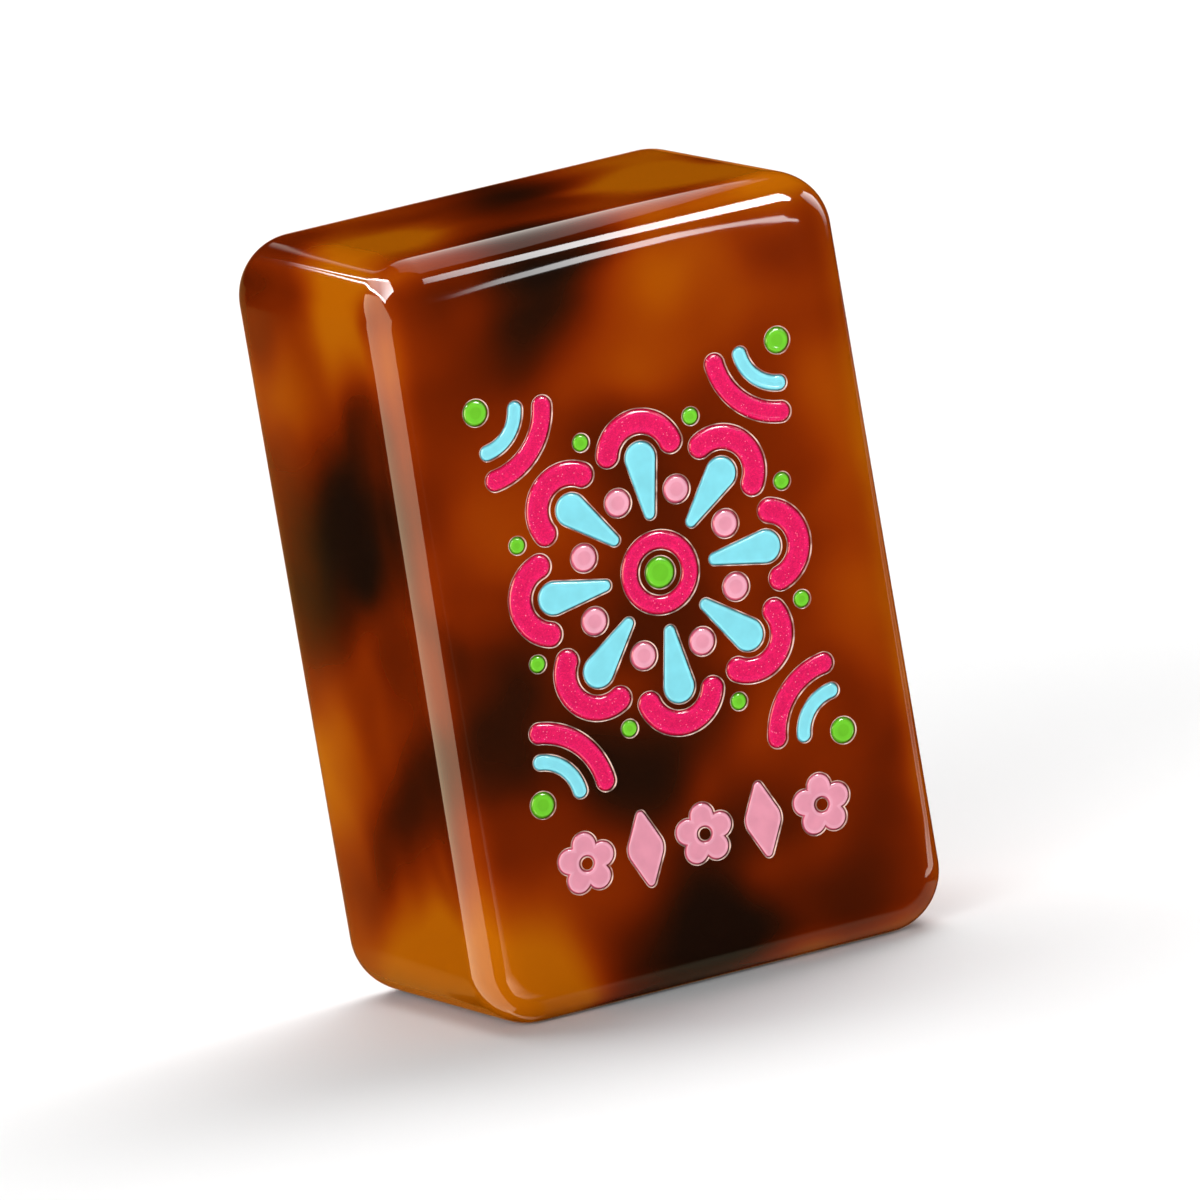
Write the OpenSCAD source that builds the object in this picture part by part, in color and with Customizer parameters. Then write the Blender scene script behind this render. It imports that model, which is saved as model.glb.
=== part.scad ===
// Mahjong tile: one cast block with an engraved front face, and one enamel fill in each engraved pocket.
// It stands on its short end: X to the right, Y to the back, Z up, origin in the middle of that end.

/* [Tile] */
// Height of the tile as it stands
tile_h = 30; // [26:0.5:40]
// Width across the front face
tile_w = 19.8; // [18:0.1:28]
// Depth from the front face to the back face
tile_d = 14.4; // [9:0.1:20]
// Radius of the four corners seen from the front
corner_r = 2.4; // [1.6:0.1:4]
// Radius of the rounded edge around the front and back faces
edge_r = 1.5; // [0.5:0.1:1.5]

/* [Engraving] */
// Depth of the engraved pockets
pocket_depth = 0.6; // [0.3:0.05:1.2]
// How far the enamel stays below the front face
enamel_recess = 0.1; // [0:0.02:0.2]
// Clearance between the enamel and each pocket wall
enamel_gap = 0.02; // [0:0.01:0.04]

/* [Layout] */
// From each side of the tile to the artwork
side_margin = 3; // [2.5:0.1:4]
// From the top of the tile to the artwork
top_margin = 5.7; // [3:0.1:7]
// From the foot of the tile to the row of small motifs
foot_margin = 4.3; // [3:0.1:6]
// Height of the row of small motifs
row_h = 3; // [2.4:0.1:3.6]
// Gap between the row and the artwork above it
row_gap = 0.6; // [0.4:0.1:2]
// Number of arms of the rosette
rosette_n = 8; // [6:1:8]

/* [Hidden] */
$fn = 48;
// How far each cut runs past the face that it cuts
overrun = 0.5;
// How far the straight sides of a motif run inside its round ends, so that their outlines cross
lap = 0.002;

// Field of the rosette and its corner motifs, centred on the front face
field_w = tile_w - 2 * side_margin;
field_foot = foot_margin + row_h + row_gap;
field_h = tile_h - top_margin - field_foot;
field_z = field_foot + field_h / 2;

// Rosette, as shares of its own radius, measured out from the rosette's centre
rosette_r = min(field_w, field_h) / 2;
core_dot_share = 0.09;
core_ring_in_share = 0.13;
core_ring_out_share = 0.235;
bead_place_share = 0.47;
bead_r_share = 0.08;
petal_tip_place_share = 0.335;
petal_tip_r_share = 0.035;
petal_end_place_share = 0.65;
petal_end_r_share = 0.095;
arch_place_share = 0.655;
arch_mid_r_share = 0.2;
arch_w_share = 0.14;
dot_place_share = 0.88;
dot_r_share = 0.05;
arm_angle = 360 / rosette_n;
arch_span = 150;

// Corner motifs, as shares of the free diagonal between the rosette and the corner of the field
rosette_reach = rosette_r * (dot_place_share + dot_r_share);
corner_reach = norm([field_w, field_h]) / 2;
corner_free = corner_reach - rosette_reach;
corner_dot_share = 0.12;
corner_line_share = 0.38;
corner_line_w_share = 0.14;
corner_bow_share = 0.64;
corner_bow_w_share = 0.19;
corner_span = 76;
corner_dot_r = corner_free * corner_dot_share;
corner_x = field_w / 2 - corner_dot_r;
corner_z = field_h / 2 - corner_dot_r;

// Row of small motifs, as shares of their pitch
row_n = 5;
row_w_share = 0.905;
row_z = foot_margin + row_h / 2;
row_pitch = field_w * row_w_share / row_n;
blossom_lobes = 5;
blossom_lobe_share = 0.21;
blossom_place_share = 0.285;
blossom_heart_share = 0.2;
blossom_eye_share = 0.11;
spindle_w_share = 0.31;
spindle_tip_share = 0.08;

RED = "deeppink";
PINK = "lightpink";
BLUE = "skyblue";
GREEN = "yellowgreen";

ARMS = [for (i = [1:rosette_n]) i];
CORNERS = [for (i = [1:4]) i];
BLOSSOMS = [1, 3, 5];
SPINDLES = [2, 4];

function names(base, list) = [for (i = list) str(base, "_", i)];

// Straight shape between two round ends on the X axis, with its small end on the +X side
module drop(x_small, r_small, x_big, r_big) {
    lean = acos((r_big - r_small) / (x_small - x_big));
    tangent = [cos(lean), sin(lean)];
    mirrored = [cos(lean), -sin(lean)];
    translate([x_small, 0]) circle(r_small);
    translate([x_big, 0]) circle(r_big);
    polygon([
        [x_small, 0] + (r_small - lap) * tangent,
        [x_big, 0] + (r_big - lap) * tangent,
        [x_big, 0] + (r_big - lap) * mirrored,
        [x_small, 0] + (r_small - lap) * mirrored
    ]);
}

// Curved stroke with round ends, centred on the X axis, around the origin
module bow(mid_r, width, span) {
    reach = 2 * (mid_r + width);
    fan = [for (k = [-2:2]) reach * [cos(k * span / 4), sin(k * span / 4)]];
    intersection() {
        difference() {
            circle(mid_r + width / 2);
            circle(mid_r - width / 2);
        }
        polygon(concat([[0, 0]], fan));
    }
    for (side = [-1, 1]) rotate(side * span / 2) translate([mid_r, 0]) circle(width / 2);
}

// Outline of each motif where it lies on the face, drawn in by a clearance

module core_dot_outline(gap) {
    translate([0, field_z]) circle(rosette_r * core_dot_share - gap);
}

module core_ring_outline(gap) {
    translate([0, field_z]) difference() {
        circle(rosette_r * core_ring_out_share - gap);
        circle(rosette_r * core_ring_in_share + gap);
    }
}

module arm(i, turn) {
    translate([0, field_z]) rotate((i - 1 + turn) * arm_angle) children();
}

module bead_outline(i, gap) {
    arm(i, 0.5) translate([rosette_r * bead_place_share, 0]) circle(rosette_r * bead_r_share - gap);
}

module petal_outline(i, gap) {
    arm(i, 0) rotate(180) drop(
        -rosette_r * petal_tip_place_share, rosette_r * petal_tip_r_share - gap,
        -rosette_r * petal_end_place_share, rosette_r * petal_end_r_share - gap
    );
}

module arch_outline(i, gap) {
    arm(i, 0) translate([rosette_r * arch_place_share, 0])
        bow(rosette_r * arch_mid_r_share, rosette_r * arch_w_share - 2 * gap, arch_span);
}

module dot_outline(i, gap) {
    arm(i, 0.5) translate([rosette_r * dot_place_share, 0]) circle(rosette_r * dot_r_share - gap);
}

module corner(i) {
    side = i % 2 == 1 ? -1 : 1;
    level = i <= 2 ? 1 : -1;
    inward = side < 0 ? (level > 0 ? -45 : 45) : (level > 0 ? 225 : 135);
    translate([side * corner_x, field_z + level * corner_z]) rotate(inward) children();
}

module corner_dot_outline(i, gap) {
    corner(i) circle(corner_dot_r - gap);
}

module corner_line_outline(i, gap) {
    corner(i) bow(corner_free * corner_line_share, corner_free * corner_line_w_share - 2 * gap, corner_span);
}

module corner_bow_outline(i, gap) {
    corner(i) bow(corner_free * corner_bow_share, corner_free * corner_bow_w_share - 2 * gap, corner_span);
}

module row_place(i) {
    translate([(i - (row_n + 1) / 2) * row_pitch, row_z]) children();
}

module blossom_outline(i, gap) {
    row_place(i) difference() {
        union() {
            circle(row_pitch * blossom_heart_share);
            for (k = [0:blossom_lobes - 1]) rotate(90 + k * 360 / blossom_lobes)
                translate([row_pitch * blossom_place_share, 0])
                    circle(row_pitch * blossom_lobe_share - gap);
        }
        circle(row_pitch * blossom_eye_share + gap);
    }
}

module spindle_outline(i, gap) {
    tip_r = row_pitch * spindle_tip_share;
    row_place(i) for (turn = [90, 270]) rotate(turn)
        drop(row_h / 2 - tip_r, tip_r - gap, 0, row_pitch * spindle_w_share - gap);
}

// Solid between two depths below the front face, with the outline that is drawn upright
module at_face(depth, rise) {
    translate([0, depth - tile_d / 2, 0]) rotate([90, 0, 0]) linear_extrude(rise) children();
}

module pocket() {
    at_face(pocket_depth, pocket_depth + overrun) children();
}

module fill() {
    at_face(pocket_depth, pocket_depth - enamel_recess) children();
}

// Outer margin of the block in section: from the corner's axis to the outside, over the whole depth
module rim_section() {
    square_r = corner_r - edge_r;
    translate([0, -tile_d / 2]) square([square_r, tile_d]);
    translate([0, edge_r - tile_d / 2]) square([corner_r, tile_d - 2 * edge_r]);
    for (side = [-1, 1]) translate([square_r, side * (tile_d / 2 - edge_r)]) circle(edge_r);
}

module rim_half() {
    intersection() {
        rim_section();
        translate([0, -tile_d / 2]) square([corner_r, tile_d]);
    }
}

module block() {
    inner_w = tile_w - 2 * corner_r;
    inner_h = tile_h - 2 * corner_r;
    translate([-inner_w / 2, -tile_d / 2, corner_r]) cube([inner_w, tile_d, inner_h]);
    for (turn = [0, 180]) translate([0, 0, tile_h / 2]) rotate([0, turn, 0]) {
        translate([inner_w / 2, 0, -inner_h / 2]) linear_extrude(inner_h) rim_half();
        translate([-inner_w / 2, 0, inner_h / 2]) rotate([0, 90, 0])
            linear_extrude(inner_w) mirror([1, 0]) rim_half();
        for (side = [0, 1]) mirror([side, 0, 0]) translate([inner_w / 2, 0, inner_h / 2])
            rotate([90, 0, 0]) rotate_extrude(angle = 90) rim_half();
    }
}

module tile_body() {
    color("saddlebrown") difference() {
        block();
        pocket() core_dot_outline(0);
        pocket() core_ring_outline(0);
        for (i = ARMS) {
            pocket() bead_outline(i, 0);
            pocket() petal_outline(i, 0);
            pocket() arch_outline(i, 0);
            pocket() dot_outline(i, 0);
        }
        for (i = CORNERS) {
            pocket() corner_dot_outline(i, 0);
            pocket() corner_line_outline(i, 0);
            pocket() corner_bow_outline(i, 0);
        }
        for (i = BLOSSOMS) pocket() blossom_outline(i, 0);
        for (i = SPINDLES) pocket() spindle_outline(i, 0);
    }
}

module core_dot() {
    color(GREEN) fill() core_dot_outline(enamel_gap);
}

module core_ring() {
    color(RED) fill() core_ring_outline(enamel_gap);
}

module bead(i) {
    color(PINK) fill() bead_outline(i, enamel_gap);
}

module petal(i) {
    color(BLUE) fill() petal_outline(i, enamel_gap);
}

module arch(i) {
    color(RED) fill() arch_outline(i, enamel_gap);
}

module dot(i) {
    color(GREEN) fill() dot_outline(i, enamel_gap);
}

module corner_dot(i) {
    color(GREEN) fill() corner_dot_outline(i, enamel_gap);
}

module corner_line(i) {
    color(BLUE) fill() corner_line_outline(i, enamel_gap);
}

module corner_bow(i) {
    color(RED) fill() corner_bow_outline(i, enamel_gap);
}

module blossom(i) {
    color(PINK) fill() blossom_outline(i, enamel_gap);
}

module spindle(i) {
    color(PINK) fill() spindle_outline(i, enamel_gap);
}

tile_body();
core_dot();
core_ring();
for (i = ARMS) bead(i);
for (i = ARMS) petal(i);
for (i = ARMS) arch(i);
for (i = ARMS) dot(i);
for (i = CORNERS) corner_dot(i);
for (i = CORNERS) corner_line(i);
for (i = CORNERS) corner_bow(i);
for (i = BLOSSOMS) blossom(i);
for (i = SPINDLES) spindle(i);
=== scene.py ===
import math

import bmesh
import bpy
from mathutils import Matrix, Vector
from mathutils.geometry import delaunay_2d_cdt


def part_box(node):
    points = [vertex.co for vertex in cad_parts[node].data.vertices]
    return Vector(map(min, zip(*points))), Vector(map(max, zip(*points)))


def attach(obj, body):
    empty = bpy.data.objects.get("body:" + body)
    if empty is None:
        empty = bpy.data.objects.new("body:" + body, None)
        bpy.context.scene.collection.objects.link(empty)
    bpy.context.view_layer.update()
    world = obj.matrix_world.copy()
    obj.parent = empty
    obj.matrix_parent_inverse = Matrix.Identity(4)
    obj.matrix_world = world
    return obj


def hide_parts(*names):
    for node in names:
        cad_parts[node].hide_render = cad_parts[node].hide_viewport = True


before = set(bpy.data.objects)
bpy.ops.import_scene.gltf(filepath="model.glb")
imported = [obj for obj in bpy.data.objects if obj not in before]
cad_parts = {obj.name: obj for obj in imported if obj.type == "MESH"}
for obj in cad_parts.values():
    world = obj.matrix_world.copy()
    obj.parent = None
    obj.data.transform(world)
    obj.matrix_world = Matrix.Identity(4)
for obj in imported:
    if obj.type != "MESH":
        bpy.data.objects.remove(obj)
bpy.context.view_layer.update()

# Sizes are in millimetres, and MM makes them metres. The motifs' outlines lie on the front face, seen from
# the front, with the height above the foot as their second coordinate.
MM = 0.001
low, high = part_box("tile_body")
TILE_W, TILE_D, TILE_H = [(high[i] - low[i]) / MM for i in range(3)]

# Radius of the block's corners, and the rounded edge around its front and back faces: how far in it starts,
# and how square its curve is
CORNER_R = 2.4
EDGE_BLEND = 1.9
EDGE_SQUARENESS = 2.64

# Engraving and enamel: depth of a pocket, radius of its rim, and gap between its wall and the paint
POCKET_DEPTH = 0.6
RIM_R = 0.042
SEAT_GAP = 0.004
# From the wall inwards: distance from the wall, and depth below the front face
ENAMEL_SECTION = [
    (0.0, 0.11), (0.006, 0.095), (0.02, 0.08), (0.045, 0.056), (0.07, 0.032), (0.09, 0.015),
    (0.12, 0.004), (0.16, 0.001), (0.22, 0.004), (0.3, 0.012),
]

# Layout of the artwork on the face, with spans in degrees, and shares of the rosette's radius, of the free
# reach into a corner, of the field's width and of the distance between the places in the row
SIDE_MARGIN = 3.0
TOP_MARGIN = 5.7
FOOT_MARGIN = 4.3
ROW_H = 3.0
ROW_GAP = 0.6
FIELD_W = TILE_W - 2 * SIDE_MARGIN
FIELD_FOOT = FOOT_MARGIN + ROW_H + ROW_GAP
FIELD_H = TILE_H - TOP_MARGIN - FIELD_FOOT
FIELD_Z = FIELD_FOOT + FIELD_H / 2
ROSETTE_R = min(FIELD_W, FIELD_H) / 2
CORNER_SHARE = {"dot": 0.12, "line": 0.38, "line_w": 0.14, "bow": 0.64, "bow_w": 0.19}
ROSETTE_SHARE = {
    "core_dot": 0.09, "ring_in": 0.13, "ring_out": 0.235, "bead_place": 0.47, "bead": 0.08,
    "tip_place": 0.335, "tip": 0.035, "end_place": 0.65, "end": 0.095,
    "arch_place": 0.655, "arch": 0.2, "arch_w": 0.14, "dot_place": 0.88, "dot": 0.05,
}
ARCH_SPAN = 150
CORNER_SPAN = 76
ROW_W_SHARE = 0.905
ROW_SHARE = {"lobe": 0.21, "lobe_place": 0.285, "eye": 0.11, "spindle": 0.31, "spindle_tip": 0.08}
ROW_PLACES = 5
BLOSSOM_LOBES = 5

# Points along the outlines: their spacing, the fewest steps of an arc, and how near two of them count as one,
# in a loop and in a fill
STEP = 0.07
FEWEST_STEPS = 6
SAME_POINT = 1e-5
WELD_REACH = 1e-6

# Steps round a corner of the block, over its rounded edge, and over the rim of a pocket
CORNER_STEPS = 22
EDGE_STEPS = 20
RIM_STEPS = 4

# The least cosine that the growth of a sharp corner is divided by, so that its tip doesn't run away
LEAST_COSINE = 0.6


def arc(centre, radius, start, end):
    """Points along an arc between two angles in degrees, both ends included."""
    count = max(FEWEST_STEPS, round(abs(math.radians(end - start)) * radius / STEP))
    angles = [math.radians(start + (end - start) * k / count) for k in range(count + 1)]
    return [(centre[0] + radius * math.cos(a), centre[1] + radius * math.sin(a)) for a in angles]


def closed(points):
    """The points as a loop, with none of them twice."""
    return [p for k, p in enumerate(points) if math.dist(p, points[k - 1]) > SAME_POINT]


def placed(loop, turn, at):
    """A loop turned about the origin, then moved."""
    c, s = math.cos(math.radians(turn)), math.sin(math.radians(turn))
    return [(at[0] + c * x - s * z, at[1] + s * x + c * z) for x, z in loop]


def disc(radius):
    """A circle about the origin."""
    return closed(arc((0, 0), radius, 0, 360))


def drop(x_small, r_small, x_big, r_big):
    """A straight shape between two round ends, the small one towards +X."""
    lean = math.degrees(math.acos((r_big - r_small) / (x_small - x_big)))
    return closed(arc((x_small, 0), r_small, -lean, lean) + arc((x_big, 0), r_big, lean, 360 - lean))


def spindle(x_tip, r_tip, r_waist):
    """Two drops that share their big end."""
    lean = math.degrees(math.acos((r_waist - r_tip) / x_tip))
    return closed(
        arc((x_tip, 0), r_tip, -lean, lean) + arc((0, 0), r_waist, lean, 180 - lean)
        + arc((-x_tip, 0), r_tip, 180 - lean, 180 + lean) + arc((0, 0), r_waist, 180 + lean, 360 - lean)
    )


def bow(mid_r, width, span):
    """A curved stroke with round ends around the origin."""
    end, half = span / 2, width / 2
    cap_a = (mid_r * math.cos(math.radians(end)), mid_r * math.sin(math.radians(end)))
    cap_b = (cap_a[0], -cap_a[1])
    return closed(
        arc((0, 0), mid_r + half, -end, end) + arc(cap_a, half, end, end + 180)
        + arc((0, 0), mid_r - half, end, -end) + arc(cap_b, half, 180 - end, 360 - end)
    )


def blossom(place, lobe_r):
    """Round lobes about the origin, the first one pointing up."""
    half = math.pi / BLOSSOM_LOBES
    meet = place * math.cos(half) + math.sqrt(lobe_r ** 2 - (place * math.sin(half)) ** 2)
    sweep = math.degrees(math.atan2(meet * math.sin(half), meet * math.cos(half) - place))
    points = []
    for k in range(BLOSSOM_LOBES):
        points += placed(arc((place, 0), lobe_r, -sweep, sweep), 90 + k * 360 / BLOSSOM_LOBES, (0, 0))
    return closed(points)


def motif_loops():
    """Every enamel node's outline: its outer loop, then the loops of the islands inside it."""
    loops = {}
    share = {k: v * ROSETTE_R for k, v in ROSETTE_SHARE.items()}
    middle = (0, FIELD_Z)
    arms = sum(name.startswith("petal_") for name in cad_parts)
    loops["core_dot"] = [placed(disc(share["core_dot"]), 0, middle)]
    loops["core_ring"] = [placed(disc(share[edge]), 0, middle) for edge in ("ring_out", "ring_in")]
    for i in range(arms):
        turn, between = i * 360 / arms, (i + 0.5) * 360 / arms
        bead = placed(disc(share["bead"]), 0, (share["bead_place"], 0))
        petal = drop(-share["tip_place"], share["tip"], -share["end_place"], share["end"])
        arch = placed(bow(share["arch"], share["arch_w"], ARCH_SPAN), 0, (share["arch_place"], 0))
        dot = placed(disc(share["dot"]), 0, (share["dot_place"], 0))
        loops[f"bead_{i + 1}"] = [placed(bead, between, middle)]
        loops[f"petal_{i + 1}"] = [placed(petal, turn + 180, middle)]
        loops[f"arch_{i + 1}"] = [placed(arch, turn, middle)]
        loops[f"dot_{i + 1}"] = [placed(dot, between, middle)]

    free = math.hypot(FIELD_W, FIELD_H) / 2 - share["dot_place"] - share["dot"]
    size = {k: v * free for k, v in CORNER_SHARE.items()}
    for i, (side, level, inward) in enumerate([(-1, 1, -45), (1, 1, 225), (-1, -1, 45), (1, -1, 135)]):
        at = (side * (FIELD_W / 2 - size["dot"]), FIELD_Z + level * (FIELD_H / 2 - size["dot"]))
        loops[f"corner_dot_{i + 1}"] = [placed(disc(size["dot"]), 0, at)]
        loops[f"corner_line_{i + 1}"] = [placed(bow(size["line"], size["line_w"], CORNER_SPAN), inward, at)]
        loops[f"corner_bow_{i + 1}"] = [placed(bow(size["bow"], size["bow_w"], CORNER_SPAN), inward, at)]

    pitch = FIELD_W * ROW_W_SHARE / ROW_PLACES
    part = {k: v * pitch for k, v in ROW_SHARE.items()}
    for i in range(1, ROW_PLACES + 1):
        at = ((i - (ROW_PLACES + 1) / 2) * pitch, FOOT_MARGIN + ROW_H / 2)
        if i % 2:
            petals = blossom(part["lobe_place"], part["lobe"])
            loops[f"blossom_{i}"] = [placed(petals, 0, at), placed(disc(part["eye"]), 0, at)]
        else:
            shape = spindle(ROW_H / 2 - part["spindle_tip"], part["spindle_tip"], part["spindle"])
            loops[f"spindle_{i}"] = [placed(shape, 90, at)]
    return loops


def outward(loop):
    """Unit directions out of a loop at its points, and how far each point moves for a unit of growth."""
    ways = []
    for k, (x, z) in enumerate(loop):
        (xa, za), (xb, zb) = loop[k - 1], loop[(k + 1) % len(loop)]
        before = Vector((z - za, xa - x)).normalized()
        after = Vector((zb - z, x - xb)).normalized()
        mean = (before + after).normalized()
        ways.append((mean, 1 / max(LEAST_COSINE, mean.dot(after))))
    return ways


def grown(loop, ways, by):
    """A loop whose sides move outwards by a distance, along the ways out of it."""
    return [(x + w[0] * by * m, z + w[1] * by * m) for (x, z), (w, m) in zip(loop, ways)]


def inside(point, loops):
    """Whether a point is inside an odd number of the loops."""
    x, z = point
    odd = False
    for loop in loops:
        for k, (xa, za) in enumerate(loop):
            xb, zb = loop[k - 1]
            if (za > z) != (zb > z) and x < xa + (xb - xa) * (z - za) / (zb - za):
                odd = not odd
    return odd


def link(obj):
    """Puts an object in the scene."""
    bpy.context.scene.collection.objects.link(obj)
    return obj


class Skin:
    """A mesh being made: points in the CAD frame, their normals, and faces with a material number."""

    def __init__(self):
        self.points, self.normals, self.faces, self.materials = [], [], [], []

    def add_ring(self, loop, depth, normals):
        """Adds a loop of points at a depth below the front face, and gives their numbers."""
        first = len(self.points)
        self.points += [(x * MM, (depth - TILE_D / 2) * MM, z * MM) for x, z in loop]
        self.normals += [n.normalized() for n in normals]
        return list(range(first, len(self.points)))

    def join(self, rings, material=0):
        """Joins rings of the same length, each to the next, with strips of quads."""
        for ring_a, ring_b in zip(rings, rings[1:]):
            for k in range(len(ring_a)):
                self.faces.append((ring_a[k - 1], ring_a[k], ring_b[k], ring_b[k - 1]))
                self.materials.append(material)

    def fill(self, rings, material=0):
        """Fills the area between rings, which lie at one depth, with triangles."""
        numbers = [n for ring in rings for n in ring]
        flat = [Vector((self.points[n][0] / MM, self.points[n][2] / MM)) for n in numbers]
        edges, first = [], 0
        for ring in rings:
            edges += [(first + k, first + (k + 1) % len(ring)) for k in range(len(ring))]
            first += len(ring)
        _, _, triangles, origins, _, _ = delaunay_2d_cdt(flat, edges, [], 0, WELD_REACH)
        loops = [[(self.points[n][0] / MM, self.points[n][2] / MM) for n in ring] for ring in rings]
        for triangle in triangles:
            corners = [origins[c][0] for c in triangle]
            if inside(sum((flat[c] for c in corners), Vector((0, 0))) / 3, loops):
                self.faces.append(tuple(numbers[c] for c in corners))
                self.materials.append(material)

    def piece(self, name, materials):
        """Makes the Blender object, with its faces turned outwards and its own smooth normals."""
        mesh = bpy.data.meshes.new(name)
        mesh.from_pydata(self.points, [], self.faces)
        for material in materials:
            mesh.materials.append(material)
        mesh.polygons.foreach_set("material_index", self.materials)
        bm = bmesh.new()
        bm.from_mesh(mesh)
        bmesh.ops.recalc_face_normals(bm, faces=bm.faces)
        bm.to_mesh(mesh)
        bm.free()
        mesh.shade_smooth()
        mesh.normals_split_custom_set_from_vertices(self.normals)
        return link(bpy.data.objects.new(name, mesh))


# The way that the front face looks
FRONT = Vector((0, -1, 0))


def sideways(way):
    """A direction on the front face as a direction in space."""
    return Vector((way[0], 0, way[1]))


def tile_outline(inset):
    """The block's outline from the front, drawn in by an inset, and the way out of it at each point."""
    radius = CORNER_R - inset
    loop, ways = [], []
    for quarter, (side, level) in enumerate([(1, 1), (-1, 1), (-1, -1), (1, -1)]):
        centre = (side * (TILE_W / 2 - CORNER_R), TILE_H / 2 + level * (TILE_H / 2 - CORNER_R))
        for k in range(CORNER_STEPS + 1):
            angle = math.radians(90 * (quarter + k / CORNER_STEPS))
            way = Vector((math.cos(angle), math.sin(angle)))
            loop.append((centre[0] + radius * way[0], centre[1] + radius * way[1]))
            ways.append(way)
    return loop, ways


def edge_rings(skin, face_depth, into):
    """Rings over the rounded edge of one face, from the flat face to the side walls."""
    rings = []
    for k in range(EDGE_STEPS + 1):
        angle = math.pi / 2 * k / EDGE_STEPS
        across = math.sin(angle) ** (2 / EDGE_SQUARENESS)
        ahead = max(0.0, math.cos(angle)) ** (2 / EDGE_SQUARENESS)
        loop, ways = tile_outline(EDGE_BLEND * (1 - across))
        side_pull = across ** (EDGE_SQUARENESS - 1)
        face_pull = ahead ** (EDGE_SQUARENESS - 1)
        normals = [sideways(w) * side_pull + FRONT * into * face_pull for w in ways]
        rings.append(skin.add_ring(loop, face_depth + into * EDGE_BLEND * (1 - ahead), normals))
    return rings


def pocket_rings(skin, loop, sign):
    """Rings of one pocket wall, from its rounded rim on the front face down to the floor."""
    ways = outward(loop)
    rings = []
    for k in range(RIM_STEPS + 1):
        angle = math.pi / 2 * k / RIM_STEPS
        moved = grown(loop, ways, sign * RIM_R * (1 - math.sin(angle)))
        normals = [FRONT * math.cos(angle) - sideways(w) * sign * math.sin(angle) for w, _ in ways]
        rings.append(skin.add_ring(moved, RIM_R * (1 - math.cos(angle)), normals))
    rings.append(skin.add_ring(loop, POCKET_DEPTH, [FRONT] * len(loop)))
    return rings


def make_body(motifs, materials):
    """The cast block: rounded all round, with an engraved pocket for each motif."""
    skin = Skin()
    front = edge_rings(skin, 0, 1)
    back = edge_rings(skin, TILE_D, -1)
    skin.join(front)
    skin.join(back)
    skin.join([front[-1], back[-1]])
    skin.fill([back[0]])
    rims = [front[0]]
    for loops in motifs.values():
        floors = []
        for k, loop in enumerate(loops):
            rings = pocket_rings(skin, loop, 1 if k == 0 else -1)
            skin.join(rings, material=1)
            rims.append(rings[0])
            floors.append(rings[-1])
        skin.fill(floors, material=1)
    skin.fill(rims)
    body = skin.piece("cast_block", materials)
    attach(body, "root")
    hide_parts("tile_body")


def make_enamel(node, loops, shoulder, material):
    """One enamel fill: a cushion of paint that drops to the pocket wall over the width of its shoulder."""
    skin = Skin()
    narrow = min(1.0, shoulder / ENAMEL_SECTION[-1][0])
    section = [(SEAT_GAP + a * narrow, d) for a, d in ENAMEL_SECTION]
    tops, floors = [], []
    for k, loop in enumerate(loops):
        sign = 1 if k == 0 else -1
        ways = outward(loop)
        rings = [skin.add_ring(loop, POCKET_DEPTH, [-FRONT] * len(loop))]
        for j, (inset, depth) in enumerate(section):
            (a0, d0), (a1, d1) = section[max(0, j - 1)], section[min(len(section) - 1, j + 1)]
            moved = grown(loop, ways, -sign * inset)
            rise, run = d0 - d1, a1 - a0
            flat = j == len(section) - 1
            normals = [FRONT if flat else FRONT * run + sideways(w) * sign * rise for w, _ in ways]
            rings.append(skin.add_ring(moved, depth, normals))
        skin.join(rings)
        floors.append(rings[0])
        tops.append(rings[-1])
    skin.fill(tops)
    skin.fill(floors)
    piece = skin.piece("enamel_" + node, [material])
    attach(piece, "root")
    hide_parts(node)


# White and black as colours
WHITE = (1, 1, 1, 1)
BLACK = (0, 0, 0, 1)


def set_inputs(tree, node, values):
    """Gives a node's inputs their numbers, colours or other nodes' outputs."""
    for key, value in values.items():
        if isinstance(value, bpy.types.NodeSocket):
            tree.links.new(value, node.inputs[key])
        else:
            node.inputs[key].default_value = value


def add_node(tree, kind, values=None, **settings):
    """A shader node with its settings and inputs."""
    node = tree.nodes.new("ShaderNode" + kind)
    for key, value in settings.items():
        setattr(node, key, value)
    set_inputs(tree, node, values or {})
    return node


def place_group(tree, group, values=None):
    """A node group placed in a material with its own values."""
    return add_node(tree, "Group", values, node_tree=group)


def calc(tree, operation, first, second):
    """Arithmetic on two values."""
    return add_node(tree, "Math", {0: first, 1: second}, operation=operation).outputs[0]


def vector_calc(tree, operation, first, second):
    """Arithmetic on two vectors."""
    return add_node(tree, "VectorMath", {0: first, 1: second}, operation=operation).outputs[0]


def map_range(tree, value, from_range, to_range, curve="LINEAR"):
    """A value carried from one range to another, and held at its ends."""
    return add_node(tree, "MapRange", {
        "Value": value, "From Min": from_range[0], "From Max": from_range[1],
        "To Min": to_range[0], "To Max": to_range[1],
    }, interpolation_type=curve).outputs[0]


def mix(tree, share, first, second, how="MIX"):
    """A share of the second colour laid over the first, or multiplied into it."""
    return add_node(tree, "Mix", {
        "Factor": share, "A": first, "B": second,
    }, data_type="RGBA", blend_type=how).outputs["Result"]


def object_place(tree):
    """Where a point lies in the CAD frame, in metres."""
    return add_node(tree, "TexCoord").outputs["Object"]


def below_face(tree, here, depths, to_range, curve="LINEAR"):
    """A value that changes between two depths below the front face."""
    level = add_node(tree, "SeparateXYZ", {"Vector": here}).outputs["Y"]
    return map_range(tree, level, [(depth - TILE_D / 2) * MM for depth in depths], to_range, curve)


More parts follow.
